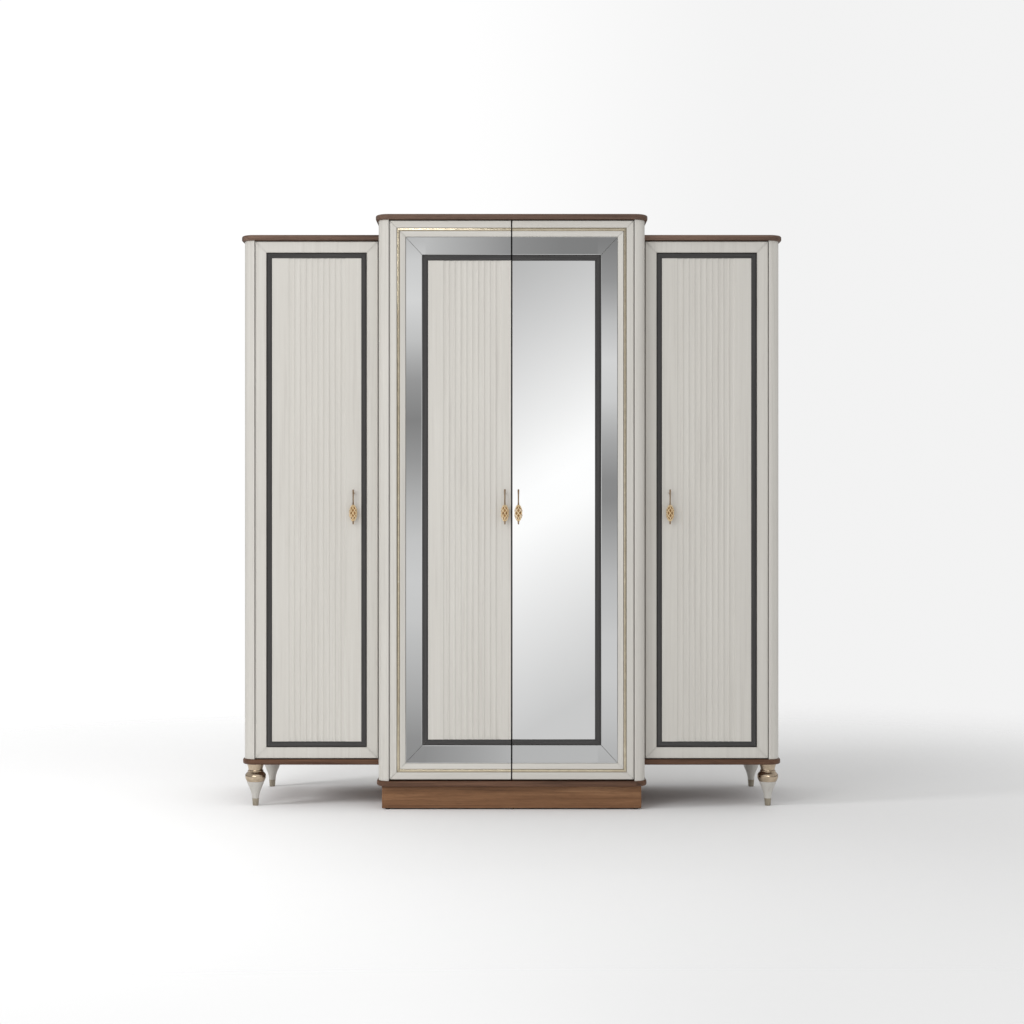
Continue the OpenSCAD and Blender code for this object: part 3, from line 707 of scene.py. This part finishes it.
def addFlutedPanel(door, look, closed):
    place, width, height = doorSpace(door)
    shared = sum(look.get(key, 0) for key in ("railWidth", "beadWidth", "slopeWidth", "darkWidth"))
    left = shared + look.get("stripWidth", 0)
    right = width - left if closed else width
    end = shared + look.get("endStripWidth", 0)
    middle = (left + right) / 2 + look["fluteShift"]
    depth = look["panelDepth"]
    count, steps = fluteLook["count"], fluteLook["steps"]
    outline = [(left, depth)]
    for flute in range(count):
        centre = middle + (flute - (count - 1) / 2) * fluteLook["pitch"]
        for step in range(steps + 1):
            t = -math.cos(math.pi * step / steps)
            outline.append((centre + t * fluteLook["width"] / 2,
                            depth + fluteLook["depth"] * (1 - abs(t) ** fluteLook["power"])))
    outline += [(right, depth), (right, look["slabDepth"]), (left, look["slabDepth"])]
    panel = ringSkin([[place(u, d, v) for u, d in outline] for v in (end, height - end)])
    standIn(door + "_fluted_panel", panel, creamUpright, door, "cream_lacquer", sharp=28)


def centreDoorFront(door):
    look = centreDoorLook
    joint = look["joint"]
    beadStart = look["railWidth"]
    stripStart = beadStart + look["beadWidth"] + look["slopeWidth"]
    darkStart = stripStart + look["stripWidth"]
    darkEndStart = stripStart + look["endStripWidth"]
    standIn(door + "_frame", mitredRuns(door, creamSection(), 0, False, joint), [creamUpright, creamLevel],
            door, "cream_lacquer", 0.0004, 34)
    standIn(door + "_bead", mitredRuns(door, beadSection(), beadStart, False, joint), beadBrass,
            door, "gold", sharp=40)
    strips = mitredRuns(door, stripSection(look["stripWidth"]), stripStart, False, look["stripJoint"],
                        stripSection(look["endStripWidth"]))
    standIn(door + "_strips", strips, smokedMirror, door, "smoked_mirror", 0.0008, 40, 1)
    moulding = mitredRuns(door, darkSection(look), darkStart, False, joint, endOffset=darkEndStart)
    standIn(door + "_moulding", moulding, charcoals, door, "charcoal_lacquer", sharp=30)


def wingDoorFront(door):
    look = wingDoorLook
    frameRuns = mitredRuns(door, flatRailSection(), 0, True, 0.0)
    standIn(door + "_frame", frameRuns, creamUpright, door, "cream_lacquer", sharp=34)
    moulding = mitredRuns(door, darkSection(look), look["railWidth"], True, look["joint"])
    standIn(door + "_moulding", moulding, charcoals, door, "charcoal_lacquer", sharp=30)


for door in centreDoors:
    centreDoorFront(door)
for door in wingDoors:
    wingDoorFront(door)
    addFlutedPanel(door, wingDoorLook, True)
addFlutedPanel("door_centre_left", centreDoorLook, False)
standIn("door_centre_right_mirror", boxShape(*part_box("door_centre_right_mirror")), clearMirror,
        "door_centre_right", "clear_mirror", 0.0008, easeSteps=1)
print("door fronts made")


# Handle: slim stem, openwork basket of crossing ribs with pearls over a core painted dark as the shade in the
# holes, drop tip
handleLook = {
    "axisDepth": 0.015, "tip": 0.013, "basket": 0.058, "ribs": 6, "ribRadius": 0.00155, "ribSteps": 28,
    "ribSides": 8, "pearlRadius": 0.0024, "pearlSteps": 10, "pearlLevels": 7,
    "leaves": ((0.02, 0.0016), (0.975, 0.0017)), "leafLift": 0.0006,
    "outline": [(0.0, 0.0030), (0.08, 0.0076), (0.20, 0.0114), (0.38, 0.0131), (0.58, 0.0132),
                (0.78, 0.0118), (0.92, 0.0078), (1.0, 0.0036)],
    "finial": [(0, 0), (0.0015, 0.0001), (0.0024, 0.0008), (0.0028, 0.0022), (0.0028, 0.0050),
               (0.0027, 0.0074), (0.0031, 0.0096), (0.0036, 0.0114), (0.0037, 0.0128), (0.0032, 0.0142),
               (0.0024, 0.0160), (0.0022, 0.0200)],
    "core": [(0.0022, 0.016), (0.0050, 0.022), (0.0078, 0.030), (0.0090, 0.040), (0.0090, 0.050),
             (0.0074, 0.060), (0.0044, 0.067), (0.0024, 0.071)],
    "stem": [(0.0022, 0.066), (0.0038, 0.0692), (0.0044, 0.0706), (0.0041, 0.0722), (0.0031, 0.0736),
             (0.0026, 0.0752), (0.0032, 0.0766), (0.0032, 0.0778), (0.0026, 0.0796), (0.0024, 0.092),
             (0.0026, 0.108), (0.0029, 0.118), (0.0030, 0.1215), (0.0036, 0.1228), (0.0036, 0.1240),
             (0.0030, 0.1252), (0.0031, 0.1270), (0.0028, 0.1288), (0.0018, 0.1298), (0, 0.13)],
    "posts": [0.027, 0.116],
}


def outlineRadius(share):
    points = handleLook["outline"]
    for (start, low), (end, high) in zip(points, points[1:]):
        if share <= end:
            t = (share - start) / (end - start)
            return low + (high - low) * (t * t * (3 - 2 * t) * 0.5 + t * 0.5)
    return points[-1][1]


# Round rod along a list of points
def rod(points, radius, sides):
    rings = []
    side = None
    for index, point in enumerate(points):
        here = Vector(point)
        ahead = Vector(points[min(index + 1, len(points) - 1)]) - Vector(points[max(index - 1, 0)])
        ahead.normalize()
        if side is None:
            side = ahead.cross(Vector((0, 0, 1)))
            if side.length < 0.1:
                side = ahead.cross(Vector((1, 0, 0)))
        side = (side - ahead * side.dot(ahead)).normalized()
        other = ahead.cross(side)
        rings.append([tuple(here + radius * (math.cos(a) * side + math.sin(a) * other))
                      for a in (2 * math.pi * step / sides for step in range(sides))])
    return ringSkin(rings)


def pearl(centre, radius):
    levels = handleLook["pearlLevels"]
    angles = [math.pi * step / levels for step in range(levels + 1)]
    profile = [(radius * math.sin(angle), -radius * math.cos(angle)) for angle in angles]
    return turned(profile, centre, steps=handleLook["pearlSteps"])


def handleShape(door):
    low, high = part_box(door + "_handle")
    look = handleLook
    axis = Vector(((low.x + high.x) / 2, low.y + look["axisDepth"], low.z))
    count = look["ribs"]
    steps = look["ribSteps"]

    def onBasket(share, angle, lift=0.0):
        radius = outlineRadius(share) + lift
        return axis + Vector((radius * math.cos(angle), radius * math.sin(angle),
                              look["tip"] + look["basket"] * share))

    shapes = [marked(turned(smoothProfile(look[part]), axis), mark)
              for part, mark in (("finial", 1), ("core", 2), ("stem", 1))]
    for direction in (1, -1):
        for rib in range(count):
            start = 2 * math.pi * rib / count
            points = [onBasket(step / steps, start + direction * math.pi * step / steps)
                      for step in range(steps + 1)]
            shapes.append(marked(rod(points, look["ribRadius"], look["ribSides"]), 0))
    for row in range(1, count):
        share = row / count
        size = look["pearlRadius"] * (1.0 if 1 < row < count - 1 else 0.82)
        for rib in range(count):
            angle = 2 * math.pi * rib / count + math.pi * share
            shapes.append(marked(pearl(onBasket(share, angle), size), 0))
    for share, size in look["leaves"]:
        for leaf in range(count):
            angle = 2 * math.pi * (leaf + 0.5) / count
            shapes.append(marked(pearl(onBasket(share, angle, look["leafLift"]), size), 0))
    reach = high.y - axis.y
    profile = [(0.0024, 0.0)] + [(radius, reach - back) for radius, back in (
        (0.0024, 0.0075), (0.0030, 0.0065), (0.0028, 0.0045), (0.0033, 0.0032), (0.0034, 0.0012),
        (0.0034, 0.0))]
    for rise in look["posts"]:
        shapes.append(marked(turned(profile, axis + Vector((0, 0, rise)), "Y"), 1))
    return joinShapes(shapes)


for door in doorNames:
    standIn(door + "_handle", handleShape(door), [handleBrass, stemBrass, coreBrass], door, "gold", sharp=50)
print("handles made")


# CAD nodes that keep their shape get their own finish
def paintNode(node, material):
    for slot in nodes[node].material_slots:
        slot.material = material


for door in doorNames:
    paintNode(door + "_slab", creamUpright)
    paintNode(door + "_cups", steel)
for node in ("shelf_brackets", "hanging_rails", "rail_sockets", "joining_brackets", "hinge_arms"):
    paintNode(node, steel)
backPanels = ("centre_back_panel", "wing_left_back_panel", "wing_right_back_panel")
for node in backPanels:
    paintNode(node, innerUpright)
for node in ("hat_shelves", "wing_left_shelves"):
    paintNode(node, innerLevel)


# Boxes of the separate solids inside one CAD node
def solidBoxes(node):
    work = bmesh.new()
    work.from_mesh(nodes[node].data)
    bmesh.ops.remove_doubles(work, verts=work.verts, dist=1e-5)
    matrix = nodes[node].matrix_world
    seen = set()
    boxes = []
    for start in work.verts:
        if start in seen:
            continue
        seen.add(start)
        stack = [start]
        points = []
        while stack:
            vert = stack.pop()
            points.append(matrix @ vert.co)
            for edge in vert.link_edges:
                other = edge.other_vert(vert)
                if other not in seen:
                    seen.add(other)
                    stack.append(other)
        boxes.append((Vector(min(point[axis] for point in points) for axis in range(3)),
                      Vector(max(point[axis] for point in points) for axis in range(3))))
    work.free()
    return boxes


# Pan-head screws and nails; the profile runs outward from the face they sit on
fixingLook = {
    "screw": [(0, -0.0004), (0.0036, -0.0004), (0.0036, 0.0003), (0.0032, 0.0009), (0.0022, 0.0013),
              (0.0014, 0.0013), (0.0012, 0.0006), (0, 0.0005)],
    "nail": [(0, -0.0004), (0.0032, -0.0004), (0.0032, 0.0001), (0.0026, 0.0004), (0.0012, 0.0006),
             (0, 0.0006)],
    "steps": 16, "plate": 0.003, "flange": 0.002, "cupEdge": 0.0115, "cupEnd": 0.0045,
    "armSpread": 0.0170, "armBack": 0.025, "shelfRise": 0.38, "joinRises": (0.45, 0.78),
    "joinSpread": 0.011, "nailGap": 0.16, "nailInset": 0.009,
}


def fixing(kind, place, axis, direction=1):
    profile = [(radius, along * direction) for radius, along in fixingLook[kind]]
    return turned(profile, place, axis, fixingLook["steps"])


def addFixings(name, shapes, body="carcass"):
    makePiece(name, joinShapes(shapes), steel, body, "fitting_steel", sharp=40)


def hingeScrews(door):
    look = fixingLook
    shapes = []
    for low, high in solidBoxes(door + "_cups"):
        x = low.x + look["cupEdge"] if door.endswith("left") else high.x - look["cupEdge"]
        for z in (low.z + look["cupEnd"], high.z - look["cupEnd"]):
            shapes.append(fixing("screw", (x, high.y, z), "Y"))
    addFixings(pieceName(door, "HingeScrews"), shapes, door)


def fittingScrews():
    shapes = []
    look = fixingLook
    for low, high in solidBoxes("hinge_arms"):
        side = 1 if low.x < 0 else -1
        x = low.x + look["plate"] if side > 0 else high.x - look["plate"]
        middle = (low.z + high.z) / 2
        for z in (middle - look["armSpread"], middle + look["armSpread"]):
            shapes.append(fixing("screw", (x, high.y - look["armBack"], z), "X", side))
    leftPlanes = [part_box(node)[1].x for node in ("centre_side_left", "centre_side_right", "wing_left_side")]
    for low, high in solidBoxes("shelf_brackets"):
        onLeft = any(abs(low.x - plane) < 0.0005 for plane in leftPlanes)
        x = low.x + look["flange"] if onLeft else high.x - look["flange"]
        place = (x, (low.y + high.y) / 2, low.z + (high.z - low.z) * look["shelfRise"])
        shapes.append(fixing("screw", place, "X", 1 if onLeft else -1))
    for low, high in solidBoxes("joining_brackets"):
        side = 1 if low.x > 0 else -1
        x = low.x + look["plate"] if side > 0 else high.x - look["plate"]
        middle = (low.y + high.y) / 2
        for share in look["joinRises"]:
            rise = (high.z - low.z) * share
            z = low.z + rise if low.z < 1 else high.z - rise
            for y in (middle - look["joinSpread"], middle + look["joinSpread"]):
                shapes.append(fixing("screw", (x, y, z), "X", side))
    addFixings("carcassFittingScrews", shapes)


def backNails():
    look = fixingLook
    shapes = []
    for node in backPanels:
        low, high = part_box(node)
        left, right = low.x + look["nailInset"], high.x - look["nailInset"]
        bottom, top = low.z + look["nailInset"], high.z - look["nailInset"]
        rows = round((top - bottom) / look["nailGap"])
        columns = round((right - left) / look["nailGap"])
        places = [(x, bottom + (top - bottom) * row / rows)
                  for x in (left, right) for row in range(rows + 1)]
        places += [(left + (right - left) * column / columns, z)
                   for z in (bottom, top) for column in range(1, columns)]
        shapes += [fixing("nail", (x, high.y, z), "Y") for x, z in places]
    addFixings("backNails", shapes)


# The centre back is two boards held by an H strip
def backStrip():
    low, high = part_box("centre_back_panel")
    half = [(-0.0085, -0.0002), (-0.0085, 0.0004), (-0.0075, 0.0009), (-0.0012, 0.0009), (-0.0008, 0.0005)]
    section = half + [(-x, y) for x, y in reversed(half)]
    outline = [(x, high.y + y) for x, y in section]
    makePiece("backJointStrip", prism(outline, low.z, high.z), stripPlastic, "carcass", "glide_plastic",
              sharp=25)


# Thin bands along the shelves' front edges
def shelfBands():
    for node, name in (("hat_shelves", "hatShelfBands"), ("wing_left_shelves", "wingShelfBands")):
        shapes = []
        for low, high in solidBoxes(node):
            section = [(0.0002, low.z + 0.0002), (-0.0004, low.z + 0.0002), (-0.0010, low.z + 0.0010),
                       (-0.0010, high.z - 0.0010), (-0.0004, high.z - 0.0002), (0.0002, high.z - 0.0002)]
            shapes.append(ringSkin([[(x, low.y + y, z) for y, z in section]
                                    for x in (low.x + 0.0003, high.x - 0.0003)]))
        makePiece(name, joinShapes(shapes), stripPlastic, "carcass", "inner_board", sharp=25)


for door in doorNames:
    hingeScrews(door)
fittingScrews()
backNails()
backStrip()
shelfBands()
print("inside finished")


# Studio: pale floor that fades into the surround, lamps and reflector cards
studioLook = {
    "floorHalf": 40.0, "floorFadeStart": 0.2, "floorFadeEnd": 3.4, "floorRight": 0.82, "floorLeft": 0.98,
    "floorTurn": (-1.7, 0.1), "fill": 0.73, "fillLean": 0.06, "seenLeft": 1.03, "seenRight": 0.952,
    "seenBelow": 0.93, "gloss": [(0.0, 0.30), (0.25, 0.26), (0.50, 0.62), (1.0, 0.50)],
}


# Linear light of a display brightness from 0 to 1
def screenTone(value):
    return ((value + 0.055) / 1.055) ** 2.4


def flatCard(name, corners, material):
    mesh = bpy.data.meshes.new(name)
    mesh.from_pydata(corners, [], [(0, 1, 2, 3)])
    mesh.materials.append(material)
    card = bpy.data.objects.new(name, mesh)
    scene.collection.objects.link(card)
    return card


# The floor fades out with its distance from the armoire's footprint; its tone is a little
# brighter on the left, a painted pool of light from the left
def addFloor():
    look = studioLook
    half = look["floorHalf"]
    reach = cadBounds[1]
    material, tree, shader = newMaterial("studioFloor", grey(look["floorRight"]))
    place = addNode(tree, "TexCoord").outputs["Object"]
    across = addNode(tree, "SeparateXYZ", {0: place}).outputs["X"]
    # Painted light: the floor's tone rises towards the left as if more light fell there
    share = mapRange(tree, across, *look["floorTurn"], smooth=True)
    tone = ramp(tree, share, [(0.0, grey(look["floorLeft"])), (1.0, grey(look["floorRight"]))], False)
    feed(tree, shader, {"Base Color": tone, "Roughness": 0.85, "Specular IOR Level": 0.1})
    away = addNode(tree, "VectorMath", {0: place}, operation="ABSOLUTE").outputs[0]
    for operation, vector in (("SUBTRACT", (reach[0], reach[1], 0)), ("MAXIMUM", (0, 0, 0))):
        away = addNode(tree, "VectorMath", {0: away, 1: vector}, operation=operation).outputs[0]
    distance = addNode(tree, "VectorMath", {0: away}, operation="LENGTH").outputs["Value"]
    fade = mapRange(tree, distance, look["floorFadeStart"], look["floorFadeEnd"], smooth=True)
    clear = addNode(tree, "BsdfTransparent").outputs[0]
    blend = addNode(tree, "MixShader", {0: fade, 1: shader.outputs[0], 2: clear}).outputs[0]
    feed(tree, tree.nodes["Material Output"], {"Surface": blend})
    floor = flatCard("studioFloor", [(-half, -half, 0), (half, -half, 0), (half, half, 0), (-half, half, 0)],
                     material)


# What the camera sees, what lights the armoire and what gloss reflects are set apart
def addSurround():
    look = studioLook
    fill, lean = look["fill"], look["fillLean"]
    world = bpy.data.worlds.new("studioSurround")
    scene.world = world
    world.use_nodes = True
    tree = world.node_tree
    tree.nodes.clear()
    place = addNode(tree, "TexCoord").outputs["Generated"]
    split = addNode(tree, "SeparateXYZ", {0: place})
    across, up = split.outputs["X"], split.outputs["Z"]
    below = mapRange(tree, up, -0.22, -0.12, smooth=True)
    seen = addNode(tree, "Background", {
        "Color": ramp(tree, below, [(0.0, grey(look["seenBelow"])), (1.0, grey(1.0))], False),
        "Strength": mapRange(tree, across, -0.10, 0.16, look["seenLeft"], screenTone(look["seenRight"]),
                             smooth=True)})
    lit = addNode(tree, "Background", {
        "Color": (1.0, 1.0, 1.0, 1.0),
        "Strength": mapRange(tree, across, -1.0, 1.0, fill * (1 - lean), fill * (1 + lean))})
    tones = [(height, grey(tone)) for height, tone in look["gloss"]]
    gloss = addNode(tree, "Background", {"Color": ramp(tree, mapRange(tree, up, -0.1, 0.7), tones)})
    path = addNode(tree, "LightPath").outputs
    unseen = addNode(tree, "MixShader", {0: path["Is Glossy Ray"], 1: lit.outputs[0], 2: gloss.outputs[0]})
    whole = addNode(tree, "MixShader", {0: path["Is Camera Ray"], 1: unseen.outputs[0], 2: seen.outputs[0]})
    addNode(tree, "OutputWorld", {0: whole.outputs[0]})


# Soft key from the left; a low side lamp for the floor's shadow on the right; flags that put
# highlights on the gold bead near its upper left corner and on the leg collars. A lamp with
# a lit piece lights nothing else.
lampLook = {
    "softKey": {"power": 49, "size": (2.2, 2.2), "place": (-2.2, -3.4, 2.5), "aim": (0, 0, 1.0)},
    "floorLamp": {"power": 270, "size": (1.8, 1.8), "place": (-7.5, -3.0, 3.6), "aim": (0.6, -0.2, 0),
                  "lit": "studioFloor"},
    "topFlag": {"power": 9.52, "size": (0.34, 1.0), "place": (-0.405, -1.96, 3.12),
                "aim": (-0.3, -0.3, 2.14), "lit": "doorCentreLeftBead", "glossy": True},
    "upperFlag": {"power": 2.464, "size": (1.1, 0.08), "place": (-2.155, -2.69, 2.585),
                  "aim": (-0.42, -0.3, 2.12), "lit": "doorCentreLeftBead", "glossy": True},
    "lowerFlag": {"power": 3.388, "size": (1.1, 0.11), "place": (-2.155, -2.69, 2.34),
                  "aim": (-0.42, -0.3, 1.95), "lit": "doorCentreLeftBead", "glossy": True},
    "collarFlag": {"power": 40.32, "size": (3.6, 0.8), "place": (-0.2, -2.4, 0.9),
                   "aim": (0, -0.2, 0.12), "lit": "legCollars", "glossy": True},
}


def addLamp(name, power, size, place, aim, lit=None, glossy=False):
    data = bpy.data.lights.new(name, "AREA")
    data.shape = "RECTANGLE"
    data.size, data.size_y = size
    data.energy = power
    lamp = bpy.data.objects.new(name, data)
    scene.collection.objects.link(lamp)
    lamp.location = place
    lamp.rotation_euler = (Vector(aim) - lamp.location).to_track_quat("-Z", "Y").to_euler()
    lamp.visible_glossy = glossy
    lamp.visible_camera = False
    if lit:
        receivers = bpy.data.collections.new(name + "Lit")
        receivers.objects.link(bpy.data.objects[lit])
        lamp.light_linking.receiver_collection = receivers


# Cards in front of the doors that only gloss and mirrors see. A zone on the door's plane is
# thrown out to the card, so that each mirror shows its own card from the front.
cardLook = {
    "standOff": 1.1, "border": 0.132, "endBorder": 0.136, "side": 0.16, "over": 0.1, "under": 0.02,
    "slant": -0.618, "clearTone": 0.928, "smokedTone": 0.643, "stops": 30,
    "main": [(0.0, 0.788), (0.42, 0.995), (0.49, 1.0), (0.54, 0.985), (0.75, 0.862), (0.93, 0.755),
             (1.0, 0.72)],
    "left": [(0.035, 0.549), (0.071, 0.565), (0.142, 0.655), (0.214, 0.722), (0.285, 0.776),
             (0.357, 0.792), (0.429, 0.765), (0.500, 0.694), (0.572, 0.588), (0.643, 0.510),
             (0.715, 0.592), (0.786, 0.753), (0.858, 0.831), (0.930, 0.796), (0.965, 0.729)],
    "right": [(0.035, 0.686), (0.107, 0.749), (0.178, 0.784), (0.250, 0.784), (0.357, 0.722),
              (0.429, 0.635), (0.500, 0.537), (0.536, 0.541), (0.608, 0.655), (0.679, 0.792),
              (0.751, 0.827), (0.822, 0.733), (0.894, 0.580), (0.965, 0.498)],
    "top": [(0.0, 0.735), (0.245, 0.655), (0.523, 0.553), (0.801, 0.502), (1.0, 0.494)],
    "bottom": [(0.0, 0.556), (0.245, 0.620), (0.523, 0.702), (1.0, 0.714)],
}


# Stops between the given tones, so that the brightness on screen changes evenly
def toneStops(tones, glass):
    parts = max(1, cardLook["stops"] // len(tones))
    stops = []
    for (start, low), (end, high) in zip(tones, tones[1:]):
        for part in range(parts):
            share = part / parts
            tone = screenTone(low + (high - low) * share) / glass
            stops.append((start + (end - start) * share, grey(tone)))
    stops.append((tones[-1][0], grey(screenTone(tones[-1][1]) / glass)))
    return stops


def addCard(name, left, right, bottom, top, tones, glass, across=False, slant=0.0):
    look = cardLook
    spread = 1 + look["standOff"] / cameraSetup["distance"]
    eye = cameraSetup["height"]
    y = frontFace - look["standOff"]
    left, right = left * spread, right * spread
    bottom, top = eye + (bottom - eye) * spread, eye + (top - eye) * spread
    material = bpy.data.materials.new(name)
    material.use_nodes = True
    tree = material.node_tree
    tree.nodes.clear()
    place = addNode(tree, "TexCoord").outputs["Object"]
    split = addNode(tree, "SeparateXYZ", {0: place}).outputs
    along = split["X" if across else "Z"]
    if slant:
        lean = {0: split["X"], 1: slant, 2: along}
        along = addNode(tree, "Math", lean, operation="MULTIPLY_ADD").outputs[0]
    share = mapRange(tree, along, *((left, right) if across else (bottom, top)))
    glow = addNode(tree, "Emission", {"Color": ramp(tree, share, toneStops(look[tones], look[glass]), False)})
    addNode(tree, "OutputMaterial", {"Surface": glow.outputs[0]})
    card = flatCard(name, [(left, y, bottom), (right, y, bottom), (right, y, top), (left, y, top)], material)
    for kind in ("camera", "diffuse", "transmission", "volume_scatter", "shadow"):
        setattr(card, "visible_" + kind, False)


def addCards():
    look = cardLook
    low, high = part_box("door_centre_left_frame")
    inner = -low.x - look["border"]
    outer = -low.x + look["side"]
    bottom = low.z + look["endBorder"]
    top = high.z - look["endBorder"]
    addCard("mainCard", -inner, inner, bottom, top, "main", "clearTone", slant=look["slant"])
    addCard("leftCard", -outer, -inner, low.z, high.z, "left", "smokedTone")
    addCard("rightCard", inner, outer, low.z, high.z, "right", "smokedTone")
    addCard("topCard", -inner, inner, top, high.z + look["over"], "top", "smokedTone", across=True)
    addCard("bottomCard", -inner, inner, low.z - look["under"], bottom, "bottom", "smokedTone", across=True)


addFloor()
addSurround()
for name, look in lampLook.items():
    addLamp(name, **look)
addCards()
scene.view_settings.view_transform = "Standard"
print("studio lit")
